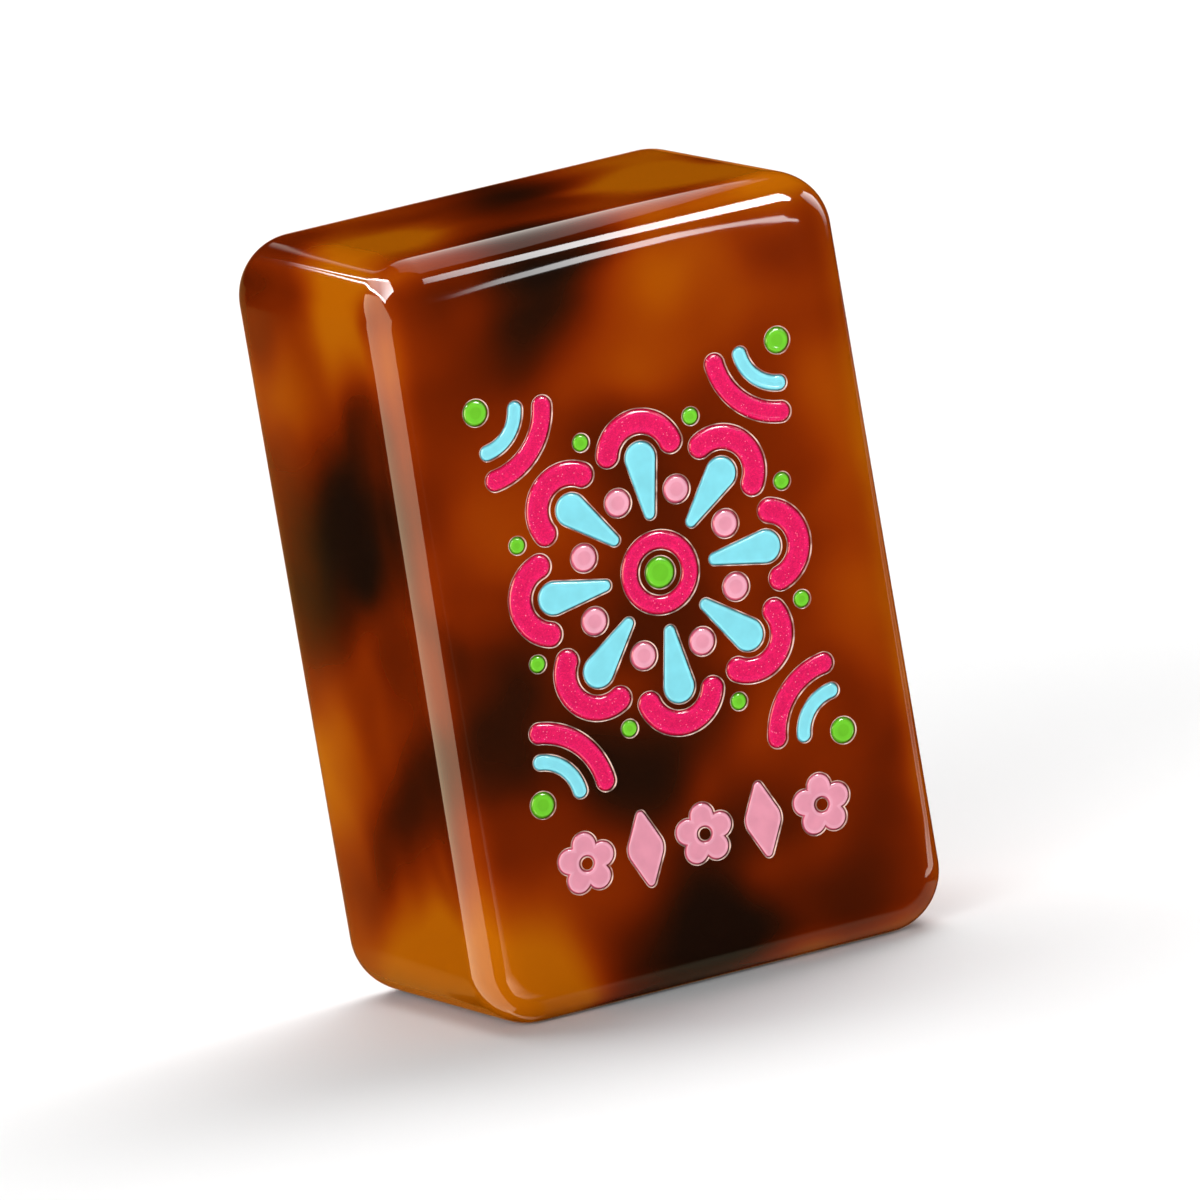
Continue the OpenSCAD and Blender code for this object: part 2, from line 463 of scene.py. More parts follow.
def new_group(name, inputs, outputs):
    """A shader node group: (kind, name, default) of each input, and (kind, name) of each output."""
    group = bpy.data.node_groups.new(name, "ShaderNodeTree")
    for kind, label, default in inputs:
        socket = group.interface.new_socket(label, in_out="INPUT", socket_type="NodeSocket" + kind)
        socket.default_value = default
    for kind, label in outputs:
        group.interface.new_socket(label, in_out="OUTPUT", socket_type="NodeSocket" + kind)
    entry = group.nodes.new("NodeGroupInput")
    leave = group.nodes.new("NodeGroupOutput")
    return group, entry, leave


def new_material(name):
    """A material with its Principled shader."""
    material = bpy.data.materials.new(name)
    material.use_nodes = True
    return material, material.node_tree, material.node_tree.nodes["Principled BSDF"]


def empty_material(name):
    """A material with no nodes yet."""
    material = bpy.data.materials.new(name)
    material.use_nodes = True
    material.node_tree.nodes.clear()
    return material, material.node_tree


def screen(red, green, blue):
    """A colour given as screen values from 0 to 255."""
    def linear(value):
        share = value / 255
        return share / 12.92 if share <= 0.04045 else ((share + 0.055) / 1.055) ** 2.4
    return (linear(red), linear(green), linear(blue), 1)


# Clouds of the cast, and two patches of painted glow along its edges: middle and radii in millimetres, tilt
# in degrees about X, Y and Z, and how much darker each one makes it
CLOUDS_AND_GLOWS = [
    # Left side
    ((-9.9, -2.6, 19.1), (3.6, 3.8, 2.3), (-22, 0, 0), 0.6),
    ((-9.9, 2.5, 18.7), (3.6, 2.6, 1.6), (-34, 0, 0), 0.32),
    ((-9.9, -5.0, 9.6), (3.0, 2.5, 1.7), (-26, 0, 0), 0.29),
    ((-9.9, -0.4, 7.8), (3.4, 2.8, 1.5), (-30, 0, 0), 0.24),
    ((-9.9, 5.2, 28.9), (2.6, 2.0, 1.0), (-10, 0, 0), 0.14),
    ((-9.9, 6.8, 25.6), (2.2, 1.5, 1.6), (0, 0, 0), -0.24),
    ((-9.9, 4.8, 23.8), (3.0, 3.0, 1.4), (-8, 0, 0), -0.16),
    ((-9.9, 1.0, 25.6), (3.0, 3.2, 1.2), (-20, 0, 0), -0.1),
    ((-9.9, -3.3, 27.8), (3.2, 2.6, 2.0), (-24, 0, 0), -0.48),
    ((-9.9, 4.8, 9.6), (3.2, 3.0, 1.7), (-30, 0, 0), -0.33),
    ((-9.9, -2.0, 11.6), (3.0, 3.2, 1.2), (-34, 0, 0), -0.08),
    ((-9.9, -4.8, 14.2), (3.0, 2.3, 1.5), (-30, 0, 0), 0.12),
    ((-9.9, -3.4, 17.3), (3.0, 1.6, 1.0), (0, 0, 0), 0.13),
    ((-9.9, -5.7, 6.8), (2.4, 1.2, 1.0), (0, 0, 0), -0.1),
    ((-9.9, -1.4, 1.6), (3.6, 5.4, 2.5), (-8, 0, 0), -0.66),
    ((-9.9, 4.8, 7.6), (3.6, 2.0, 1.8), (0, 0, 0), -0.2),
    ((-9.9, 3.6, 15.6), (3.0, 2.8, 1.5), (0, 0, 0), 0.26),
    ((-9.9, -2.4, 22.8), (3.0, 3.6, 1.2), (-20, 0, 0), 0.2),
    ((-9.9, -4.6, 4.0), (3.0, 2.4, 1.6), (0, 0, 0), -0.14),
    # Front
    ((-3.5, -7.2, 26.9), (2.4, 2.6, 1.7), (0, -35, 0), 0.4),
    ((-2.5, -7.1, 29.6), (3.1, 1.8, 1.3), (0, 0, 0), 0.44),
    ((-0.2, -7.2, 20.4), (3.4, 2.6, 1.9), (0, 16, 0), 0.16),
    ((-7.8, -7.2, 11.5), (1.8, 2.6, 1.9), (0, 0, 0), 0.24),
    ((-5.6, -7.2, 13.4), (2.4, 2.6, 2.2), (0, 0, 0), 0.24),
    ((-0.4, -7.2, 15.2), (2.6, 2.6, 2.4), (0, 0, 0), 0.26),
    ((0.4, -7.2, 10.8), (1.6, 2.6, 1.6), (0, 0, 0), 0.28),
    ((-2.8, -7.2, 9.2), (2.0, 2.6, 1.9), (0, 0, 0), 0.5),
    ((-0.9, -7.0, 0.8), (2.9, 3.2, 2.1), (0, 0, 0), 0.68),
    ((-0.3, -7.2, 4.4), (1.8, 2.6, 1.9), (0, -12, 0), 0.34),
    ((5.6, -7.2, 1.8), (2.4, 2.6, 1.4), (0, 0, 0), 0.2),
    ((3.2, -7.2, 6.2), (2.0, 2.6, 1.6), (0, 0, 0), 0.22),
    ((5.4, -7.2, 15.2), (1.6, 2.6, 1.8), (0, 0, 0), 0.1),
    ((1.0, -7.2, 24.6), (3.2, 2.6, 1.8), (0, 0, 0), -0.18),
    ((2.6, -7.2, 27.6), (2.4, 2.6, 1.4), (0, 0, 0), -0.26),
    ((6.6, -7.2, 24.2), (2.0, 2.6, 2.4), (0, 0, 0), -0.08),
    ((8.9, -7.2, 20.2), (1.5, 2.6, 2.4), (0, 0, 0), -0.28),
    ((8.0, -7.2, 12.6), (1.8, 2.6, 2.4), (0, 0, 0), -0.16),
    ((-9.5, -6.9, 19.2), (0.8, 1.1, 5.6), (0, 0, 0), 0.2),
    ((-9.8, -6.4, 14.2), (0.7, 0.7, 1.8), (0, 0, 0), 0.32),
    ((-9.8, -6.4, 26.4), (0.7, 0.8, 2.0), (0, 0, 0), 0.28),
    ((-9.8, -6.4, 7.0), (0.7, 0.8, 1.0), (0, 0, 0), 0.12),
    ((-7.7, -7.2, 1.3), (2.0, 2.6, 1.9), (0, 0, 0), -0.36),
    ((-6.8, -7.2, 19.4), (1.8, 2.6, 2.4), (0, 0, 0), -0.12),
    ((-8.8, -7.2, 29.0), (1.9, 2.0, 1.7), (0, 0, 0), 0.3),
    ((-5.7, -7.2, 4.3), (1.7, 2.6, 1.5), (0, 0, 0), -0.16),
    ((-8.7, -7.2, 27.0), (1.2, 2.0, 1.2), (0, 0, 0), -0.12),
    ((-7.8, -7.2, 15.2), (1.5, 2.6, 1.0), (0, 0, 0), -0.12),
    ((-6.6, -7.2, 9.2), (1.2, 2.6, 1.0), (0, 0, 0), 0.12),
    ((-8.5, -7.2, 3.1), (1.3, 2.0, 1.1), (0, 0, 0), 0.1),
    ((2.2, -7.0, 0.9), (1.4, 2.6, 0.9), (0, 0, 0), 0.14),
    ((7.8, -7.2, 4.0), (1.6, 2.6, 1.4), (0, 0, 0), 0.1),
    # Painted glow: these two lighten the cast along its bottom and right front edges, as if light shone
    # through
    ((5.0, -7.0, 0.0), (4.2, 1.5, 0.8), (0, 0, 0), -0.24),
    ((9.9, -6.9, 8.0), (1.0, 1.2, 3.2), (0, 0, 0), -0.18),
    # Top
    ((0.8, 3.8, 30.0), (1.6, 2.4, 2.6), (0, 0, 0), 0.28),
    ((-0.4, 0.4, 30.0), (1.7, 2.6, 2.4), (0, 0, 0), 0.26),
    ((1.8, -4.8, 30.2), (1.2, 1.6, 1.6), (0, 0, 0), -0.16),
    ((-5.0, 5.0, 30.0), (3.0, 1.8, 2.4), (0, 0, 0), -0.14),
    ((1.8, -0.6, 30.0), (1.0, 2.6, 1.8), (0, 0, -14), 0.06),
    ((6.1, 0.1, 30.0), (1.3, 1.6, 1.6), (0, 0, 0), -0.16),
    ((5.0, -4.7, 30.0), (1.1, 1.1, 1.4), (0, 0, 0), 0.1),
    ((-8.5, 1.2, 30.0), (1.1, 1.2, 1.2), (0, 0, 0), 0.1),
    ((6.8, 4.4, 30.0), (2.4, 2.6, 2.4), (0, 0, 0), -0.42),
    ((-6.4, -0.8, 30.0), (1.9, 2.7, 2.2), (0, 0, 0), -0.76),
    ((4.5, -1.0, 30.0), (1.8, 2.6, 2.2), (0, 0, 0), -0.84),
    ((7.2, -4.4, 30.0), (2.5, 2.3, 2.2), (0, 0, 0), -0.48),
    # Right side, back and foot, which the camera doesn't see
    ((9.9, -2.0, 24.6), (3.4, 3.4, 2.0), (22, 0, 0), 0.4),
    ((9.9, 3.6, 11.6), (3.4, 3.4, 2.2), (24, 0, 0), 0.46),
    ((9.9, -3.4, 7.6), (3.2, 2.8, 1.8), (24, 0, 0), 0.3),
    ((9.9, -1.0, 3.0), (3.4, 3.6, 1.6), (10, 0, 0), -0.36),
    ((9.9, 3.0, 18.0), (3.4, 3.4, 1.6), (22, 0, 0), -0.42),
    ((9.9, -4.0, 15.6), (3.2, 3.0, 1.6), (22, 0, 0), -0.2),
    ((9.9, 3.4, 27.4), (3.2, 3.0, 1.5), (0, 0, 0), -0.3),
    ((3.4, 7.2, 21.8), (2.8, 3.0, 3.0), (0, 20, 0), 0.46),
    ((-4.4, 7.2, 11.4), (2.8, 3.0, 3.2), (0, -24, 0), 0.46),
    ((4.8, 7.2, 6.4), (2.6, 3.0, 2.0), (0, 0, 0), 0.34),
    ((-1.4, 7.2, 27.0), (2.4, 3.0, 1.6), (0, 0, 0), 0.24),
    ((-5.2, 7.2, 22.6), (2.8, 3.0, 2.2), (0, 30, 0), -0.42),
    ((4.4, 7.2, 13.6), (3.0, 3.0, 2.0), (0, -20, 0), -0.42),
    ((-1.4, 7.2, 4.0), (2.8, 3.0, 1.8), (0, 0, 0), -0.38),
    ((4.0, 0.0, 0.0), (2.8, 3.6, 2.0), (0, 0, 20), 0.4),
]

# Darkness of the cast between its clouds, how many radii away a cloud ends, and the painted glow of thin
# edges
CAST_DARKNESS = 0.46
CLOUD_REACH = 2.1
# The edge glow is painted light: the colour is drawn lighter near the edges, as if light shone through the
# thin resin
PAINTED_EDGE_GLOW = -0.22
PAINTED_EDGE_GLOW_WIDTH = 1.7

# Noise in the cast, with scales per metre: one pushes the clouds out of shape, one lays haze between them
DRIFT_NOISE = {"Scale": 150.0, "Detail": 1.0, "Roughness": 0.4}
DRIFT_MIDDLE = (0.5, 0.5, 0.5)
DRIFT = 3.6
HAZE_NOISE = {"Scale": 230.0, "Detail": 1.0, "Roughness": 0.4}
HAZE_RANGE = (0.25, 0.75)
HAZE = 0.09

# Colours of the cast from its lightest amber to its darkest brown, as screen values
SHELL_RAMP = [
    (0.0, (190, 102, 4)),
    (0.17, (172, 78, 3)),
    (0.35, (145, 47, 3)),
    (0.52, (110, 31, 2)),
    (0.68, (75, 22, 3)),
    (0.84, (44, 18, 6)),
    (1.0, (25, 14, 8)),
]

# Waves of a surface: their noise, and the part of its range that the patches use
WAVE_NOISE = {"Detail": 2.0, "Roughness": 0.4}
PATCH_RANGE = (0.35, 0.65)

# Polished cast: size of its waves, its roughness from patch to patch, its bump, and its index of refraction
POLISH_WAVE = 5.0
POLISH_ROUGHNESS = (0.035, 0.055)
POLISH_BUMP = {"Strength": 0.06, "Distance": 0.05 * MM}
CAST_IOR = 1.49

# Frosted cut: size of its grit, how frosted the grit makes it, the depths between which the frost ends, its
# colour, and the cut's roughness and index of refraction
GRIT = 0.5
GRIT_RANGE = (0.38, 0.62)
FROST = (0.2, 0.95)
FROST_DEPTHS = (0.03, 0.07)
FROST_COLOUR = (0.92, 0.64, 0.54, 1)
CUT_ROUGHNESS = 0.16
CUT_IOR = 1.6

# Enamel film: the depths between which it turns to its painted wall shade, and how far it turns, then its
# mottling, its bump, its roughness and its index of refraction
WALL_SHADE_DEPTHS = (0.003, 0.03)
WALL_SHADE_SHARE = 0.8
FLOW_NOISE = {"Scale": 1400.0, "Detail": 2.0}
FLOW_RANGE = (0.3, 0.7)
FLOW_SHADE = (0.94, 1.06)
FLOW_BUMP = {"Strength": 0.25, "Distance": 0.03 * MM}
ENAMEL_ROUGHNESS = 0.08
ENAMEL_IOR = 2.0

# Glitter: flakes per metre, their shades, the draws whose flakes get a painted glint, where that glint ends,
# and its colour
FLAKE_SCALE = 21000.0
FLAKE_SHADE = (0.84, 1.12)
GLINT_DRAWS = (0.955, 0.975)
FLAKE_EDGE = (0.25, 0.45)
FLAKE_GLINT_COLOUR = (1.0, 0.42, 0.60, 1)

# Enamels: the material slot, the colour of the film, and its painted shade along the wall, as screen values
ENAMELS = {
    "hot_pink_glitter": ("enamel_pink", (250, 34, 108), (206, 8, 56)),
    "pale_pink": ("enamel_pale_pink", (255, 178, 199), (214, 60, 96)),
    "sky_blue": ("enamel_blue", (148, 242, 255), (112, 208, 226)),
    "lime_green": ("enamel_green", (122, 220, 52), (84, 158, 14)),
}

# Each kind of motif: its enamel, and the width of the shoulder along its wall
MOTIFS = {
    "core_dot": ("lime_green", 0.3), "core_ring": ("hot_pink_glitter", 0.3), "bead": ("pale_pink", 0.3),
    "petal": ("sky_blue", 0.2), "arch": ("hot_pink_glitter", 0.3), "dot": ("lime_green", 0.24),
    "corner_dot": ("lime_green", 0.3), "corner_line": ("sky_blue", 0.2),
    "corner_bow": ("hot_pink_glitter", 0.26), "blossom": ("pale_pink", 0.2), "spindle": ("pale_pink", 0.17),
}


def second_nearest_face(tree, here):
    """How far a point is from the block's nearest edge: the second least of its depths below the faces."""
    offset = vector_calc(tree, "SUBTRACT", here, (0, 0, TILE_H / 2 * MM))
    folded = add_node(tree, "VectorMath", {0: offset}, operation="ABSOLUTE").outputs[0]
    depths = vector_calc(tree, "SUBTRACT", (TILE_W / 2 * MM, TILE_D / 2 * MM, TILE_H / 2 * MM), folded)
    x, y, z = add_node(tree, "SeparateXYZ", {"Vector": depths}).outputs
    larger = [calc(tree, "MAXIMUM", a, b) for a, b in ((x, y), (y, z), (x, z))]
    least = calc(tree, "MINIMUM", larger[0], larger[1])
    return calc(tree, "MINIMUM", least, larger[2])


def shell_clouds_and_glow():
    """Soft clouds of amber and brown inside the cast, and a painted edge glow, as one colour for every point
    of the block.
    """
    group, _, leave = new_group("shell clouds and glow", [], [("Color", "Colour")])
    here = object_place(group)
    drift = add_node(group, "TexNoise", {"Vector": here, **DRIFT_NOISE}).outputs["Color"]
    swing = vector_calc(group, "SUBTRACT", drift, DRIFT_MIDDLE)
    push = add_node(group, "VectorMath", {0: swing, "Scale": DRIFT * MM}, operation="SCALE").outputs[0]
    place = vector_calc(group, "ADD", here, push)
    haze = add_node(group, "TexNoise", {"Vector": place, **HAZE_NOISE}).outputs["Fac"]
    darkness = map_range(group, haze, HAZE_RANGE, (CAST_DARKNESS - HAZE, CAST_DARKNESS + HAZE))
    for middle, radii, tilt, depth in CLOUDS_AND_GLOWS:
        cloud = add_node(group, "Mapping", {
            "Vector": place, "Location": [v * MM for v in middle],
            "Rotation": [math.radians(v) for v in tilt], "Scale": [v * CLOUD_REACH * MM for v in radii],
        }, vector_type="TEXTURE").outputs[0]
        near = add_node(group, "TexGradient", {"Vector": cloud}, gradient_type="SPHERICAL").outputs["Fac"]
        soft = map_range(group, near, (0.0, 1.0), (0.0, depth), "SMOOTHERSTEP")
        darkness = calc(group, "ADD", darkness, soft)
    # Painted glow: the cast is lighter towards the block's edges, standing in for light through the thin
    # resin
    edge = second_nearest_face(group, here)
    glow = map_range(group, edge, (0.0, PAINTED_EDGE_GLOW_WIDTH * MM), (PAINTED_EDGE_GLOW, 0.0), "SMOOTHERSTEP")
    ramp = add_node(group, "ValToRGB", {"Fac": calc(group, "ADD", darkness, glow)})
    ramp.color_ramp.interpolation = "B_SPLINE"
    stops = ramp.color_ramp.elements
    while len(stops) < len(SHELL_RAMP):
        stops.new(0.5)
    for stop, (at, colour) in zip(stops, SHELL_RAMP):
        stop.position = at
        stop.color = screen(*colour)
    set_inputs(group, leave, {"Colour": ramp.outputs["Color"]})
    return group


def surface_waver():
    """Faint waves of a surface, as a height, and as patches from 0 to 1."""
    group, entry, leave = new_group(
        "surface waver", [("Float", "Size in millimetres", 1.0)], [("Float", "Height"), ("Float", "Patch")]
    )
    here = object_place(group)
    scale = calc(group, "DIVIDE", 1 / MM, entry.outputs["Size in millimetres"])
    waves = add_node(group, "TexNoise", {"Vector": here, "Scale": scale, **WAVE_NOISE}).outputs["Fac"]
    patch = map_range(group, waves, PATCH_RANGE, (0.0, 1.0))
    set_inputs(group, leave, {"Height": waves, "Patch": patch})
    return group


def enamel_film():
    """What all the enamels share: mottled pigment, and a painted shade where the film drops to the wall."""
    group, entry, leave = new_group(
        "enamel film",
        [("Color", "Pigment", WHITE), ("Color", "Wall shade colour", BLACK), ("Float", "Wall shade share", WALL_SHADE_SHARE)],
        [("Color", "Colour"), ("Float", "Height")],
    )
    here = object_place(group)
    # Painted shade: the film turns to its deeper wall colour where it sinks towards the pocket wall
    wall_shade_mask = below_face(group, here, WALL_SHADE_DEPTHS, (0.0, 1.0), "SMOOTHSTEP")
    share = calc(group, "MULTIPLY", wall_shade_mask, entry.outputs["Wall shade share"])
    flow = add_node(group, "TexNoise", {"Vector": here, **FLOW_NOISE}).outputs["Fac"]
    shade = map_range(group, flow, FLOW_RANGE, FLOW_SHADE)
    mottled = mix(group, 1.0, entry.outputs["Pigment"], shade, "MULTIPLY")
    colour = mix(group, share, mottled, entry.outputs["Wall shade colour"])
    set_inputs(group, leave, {"Colour": colour, "Height": flow})
    return group


def shell_material(clouds, waver):
    """Polished cast tortoiseshell."""
    material, tree, shader = new_material("tortoiseshell_cast")
    cast = place_group(tree, clouds)
    polish = place_group(tree, waver, {"Size in millimetres": POLISH_WAVE})
    rough = map_range(tree, polish.outputs["Patch"], (0.0, 1.0), POLISH_ROUGHNESS)
    bump = add_node(tree, "Bump", {"Height": polish.outputs["Height"], **POLISH_BUMP})
    set_inputs(tree, shader, {
        "Base Color": cast.outputs["Colour"], "Roughness": rough, "IOR": CAST_IOR, "Normal": bump.outputs[0],
    })
    return material


def cut_material(clouds, waver):
    """Rim and wall of an engraved pocket, where the cutter left the cast frosted."""
    material, tree, shader = new_material("frosted_cut")
    cast = place_group(tree, clouds)
    grit = place_group(tree, waver, {"Size in millimetres": GRIT})
    frost = map_range(tree, grit.outputs["Height"], GRIT_RANGE, FROST)
    rim = below_face(tree, object_place(tree), FROST_DEPTHS, (1.0, 0.0))
    frosted = mix(tree, calc(tree, "MULTIPLY", frost, rim), cast.outputs["Colour"], FROST_COLOUR)
    set_inputs(tree, shader, {"Base Color": frosted, "Roughness": CUT_ROUGHNESS, "IOR": CUT_IOR})
    return material


def add_glitter(tree, colour):
    """Fine flakes in a pigment, each with its own shade, and a few with a painted glint."""
    flakes = add_node(tree, "TexVoronoi", {"Vector": object_place(tree), "Scale": FLAKE_SCALE}).outputs
    draw = add_node(tree, "SeparateColor", {"Color": flakes["Color"]}).outputs["Red"]
    shaded = mix(tree, 1.0, colour, map_range(tree, draw, (0.0, 1.0), FLAKE_SHADE), "MULTIPLY")
    # Painted glint: a few flakes are drawn in a pale pink, as if they caught the light
    painted_glint = map_range(tree, draw, GLINT_DRAWS, (0.0, 1.0))
    near = map_range(tree, flakes["Distance"], FLAKE_EDGE, (1.0, 0.0))
    return mix(tree, calc(tree, "MULTIPLY", painted_glint, near), shaded, FLAKE_GLINT_COLOUR)


def enamel_material(name, film, pigment, wall_shade_colour):
    """Glossy enamel, with glitter in the one that is named for it."""
    material, tree, shader = new_material(name)
    paint = place_group(tree, film, {"Pigment": screen(*pigment), "Wall shade colour": screen(*wall_shade_colour)})
    colour = paint.outputs["Colour"]
    if name.endswith("glitter"):
        colour = add_glitter(tree, colour)
    bump = add_node(tree, "Bump", {"Height": paint.outputs["Height"], **FLOW_BUMP})
    set_inputs(tree, shader, {
        "Base Color": colour, "Roughness": ENAMEL_ROUGHNESS, "IOR": ENAMEL_IOR, "Normal": bump.outputs[0],
    })
    return material


def make_tile():
    """The block and all its enamel fills."""
    clouds, waver, film = shell_clouds_and_glow(), surface_waver(), enamel_film()
    motifs = motif_loops()
    make_body(motifs, [shell_material(clouds, waver), cut_material(clouds, waver)])
    enamels = {name: enamel_material(name, film, *film_colours) for name, (_, *film_colours) in ENAMELS.items()}
    for node, loops in motifs.items():
        kind = node if node in MOTIFS else node.rsplit("_", 1)[0]
        enamel, shoulder = MOTIFS[kind]
        make_enamel(node, loops, shoulder, enamels[enamel])


# Studio: colour and reach of the floor, what it adds where it is seen, radius of the black tent, and level
# of the world where it lights the tile
FLOOR_COLOUR = (0.87, 0.87, 0.87, 1)
FLOOR_REACH = 3000
FLOOR_GLOW = 0.02
TENT_R = 420
WORLD_LEVEL = 0.08

# Soft suns: azimuth and elevation of where each shines from and its spread, in degrees, then its level.
# Azimuth 0 is in front of the face, and 90 is to its right.
SUNS = {
    "key_light": (128, 58, 36, 0.58),
    "top_light": (190, 58, 36, 0.4),
    "fill_light": (-46, 12, 52, 1.0),
    "side_light": (100, 12, 30, 0.4),
}
SUN_DISTANCE = 500

# Colours of the glowing cloths
CREAM = (1.0, 0.93, 0.86, 1)
PEACH = (1.0, 0.86, 0.74, 1)
BLUSH = (1.0, 0.85, 0.75, 1)
TAN = (1.0, 0.77, 0.5, 1)
SAND = (1.0, 0.75, 0.5, 1)
LEMON = (1.0, 0.96, 0.62, 1)
AMBER = (1.0, 0.5, 0.1, 1)
RUST = (1.0, 0.32, 0.04, 1)

# Glowing cloths that only the gloss mirrors: the axis that each hangs across, its place on it, its colour,
# and its rows of points, each point with its two other coordinates and its brightness
CLOTHS = {
    "window": ("y", -60, WHITE, [
        [(22, 84, 6), (28, 90, 14), (34, 92, 20), (37, 90, 25), (43, 86, 30), (49, 74, 30), (52, 64, 30)],
        [(17, 60, 6), (21, 60, 14), (25, 62, 20), (28, 58, 25), (31, 53, 30), (44, 50, 30), (51, 58, 30)],
    ]),
    "low_window": ("y", -60, WHITE, [
        [
            (14.5, 25, 0), (17, 32, 8), (21, 37, 14), (25, 38, 13),
            (28, 30, 10), (31, 22, 11), (35, 22, 12),
        ],
        [
            (14.5, 22, 0), (17, 25, 8), (21, 28, 13), (25, 28.5, 13),
            (27, 27, 10), (30, 20, 11), (35, 21.5, 12),
        ],
    ]),
    "ceiling": ("z", 80, CREAM, [
        [
            (3, 68, 0.8), (28, 82, 1.9), (40, 98, 2.2), (56, 118, 2.0),
            (46, 80, 1.6), (34, 40, 0.9), (31, 18, 0.7),
        ],
        [
            (-10, 0, 0.5), (14, -28, 1.1), (18, -25, 1.3), (21, -6, 1.2),
            (24, 4, 0.9), (27, 7, 0.5), (30, 16, 0.7),
        ],
    ]),
    "left_cloth": ("x", -25, TAN, [
        [
            (24, 44, 4), (2.5, 30, 4), (3, 23, 4), (7, 16, 4),
            (15, 2, 3.4), (19, -4, 2.8), (20, -20, 2.2), (20, -60, 2),
        ],
        [
            (-8, 43, 4), (-38, 29, 4), (-31, 21, 4), (-22, 14, 4),
            (-15, 4, 3.4), (-15, -2, 2.8), (-16, -20, 2.2), (-16, -60, 2),
        ],
    ]),
    "foot_cloth": ("z", -38, TAN, [
        [(-24, 2, 4), (-12, 4, 1.6), (2, 6, 0.5), (10, 8, 0)],
        [(-24, 8, 4), (-12, 12, 1.6), (0, 20, 0.5), (6, 26, 0)],
    ]),
    "corner_cloth": ("z", 60, WHITE, [
        [(-15, 66, 1), (-21, 18, 5), (-20, -2, 14), (-25, -30, 26)],
        [(-18, 66, 1), (-33, 35, 2), (-38, -5, 6), (-44, -31, 18)],
    ]),
    "corner_line": ("z", 59.5, WHITE, [
        [(-14.8, 73, 0), (-15.6, 68, 12), (-20.5, 18, 26), (-19.5, -2, 26)],
        [(-15.4, 73, 0), (-16.6, 68, 12), (-22.5, 18, 26), (-22, -2, 26)],
    ]),
    "corner_curve": ("z", 59.5, WHITE, [
        [(-16, 73, 0), (-20, 69, 12), (-31, 36, 26), (-38, -5, 26), (-44, -32, 26)],
        [(-16.6, 73.5, 0), (-22, 70, 12), (-34, 36, 26), (-42, -5, 26), (-50, -36, 26)],
    ]),
    "edge_line": ("z", 60, BLUSH, [
        [(8, 88, 1), (6, 81, 1), (-1, 73, 1), (-5, 66, 1), (-7, 45, 1), (-5, 34, 0.6)],
        [(2, 88, 0), (1, 81, 0), (-5, 72, 0), (-9, 65, 0), (-10, 45, 0), (-8, 34, 0)],
    ]),
    "right_cloth": ("x", 40, WHITE, [
        [(-24, 47, 4), (-8, 46, 10), (0, 38, 8), (1, 28, 3), (2, 22, 0)],
        [(-24, 38, 1), (-18, 34, 2), (-13, 31, 2), (-10, 26, 1), (-8, 22, 0)],
    ]),
    "side_strip": ("x", 40, PEACH, [
        [(12, 19, 0.3), (15, 19, 0.3), (16, 19, 0.05), (22, 19, 0.05), (23, 19, 0.2), (27, 19, 0.2)],
        [(-6, 9, 0.8), (-3, 9, 0.8), (-2, 9, 0.1), (4, 9, 0.1), (5, 9, 0.4), (9, 9, 0.4)],
        [(-9, 3, 1.0), (-6, 3, 1.0), (-5, 3, 0.15), (3, 3, 0.15), (4, 3, 0.5), (8, 3, 0.5)],
        [
            (-12, -1.8, 2.6), (-9, -1.8, 2.6), (-8, -1.8, 1.2),
            (-4, -1.8, 1.2), (-3, -1.8, 1.6), (0, -1.8, 1.6),
        ],
        [(-18, -3, 4.6), (-15, -3, 4.6), (-14, -3, 3.0), (-10, -3, 3.0), (-9, -3, 3.4), (-6, -3, 3.4)],
        [
            (-28, -6.3, 5.5), (-26, -6.3, 5.5), (-24, -6.3, 5),
            (-20, -6.3, 5), (-17, -6.3, 5.5), (-14, -6.3, 5.5),
        ],
        [
            (-32, -10, 5.5), (-31, -10, 5.5), (-30, -10, 5.5),
            (-28, -10, 5.5), (-27, -10, 5.5), (-25, -9.5, 5.5),
        ],
    ]),
    "under_cloth": ("z", -40, LEMON, [
        [(2, -52, 0), (18, -52, 0), (34, -52, 0), (90, -70, 0)],
        [(2, -40, 0), (18, -40, 0.35), (36, -40, 0.5), (100, -50, 0.6)],
        [(4, -2, 0), (18, -2, 0.25), (36, -2, 0.36), (110, 0, 0.5)],
        [(10, 30, 0), (24, 30, 0.08), (44, 30, 0.1), (110, 60, 0.12)],
    ]),
    "foot_curve": ("y", -40, SAND, [
        [(-21.5, 20, 0.1), (-21.5, 4, 0.2), (-22.5, -3, 2), (-25, -12, 6), (-21, -27, 4), (-6, -30, 0)],
        [(-18.5, 20, 0.1), (-18.5, 4, 0.2), (-15, -3, 0.5), (-8, -7, 0), (-2, -14, 0), (8, -20, 0)],
    ]),
    "left_backdrop": ("y", 80, AMBER, [
        [(-41.4, -36, 0), (-40.6, -36, 0.1), (-39.8, -36, 0.22), (-36, -36, 0.3), (0, -36, 0.3)],
        [(-41.4, 36, 0), (-40.6, 36, 0.1), (-39.8, 36, 0.22), (-36, 36, 0.3), (0, 36, 0.3)],
    ]),
    "warm_backdrop": ("y", 80, RUST, [
        [(0, -46, 0.3), (40, -46, 0.3), (76, -46, 0.3)],
        [(0, 34, 0.42), (40, 34, 0.42), (76, 34, 0.42)],
    ]),
}

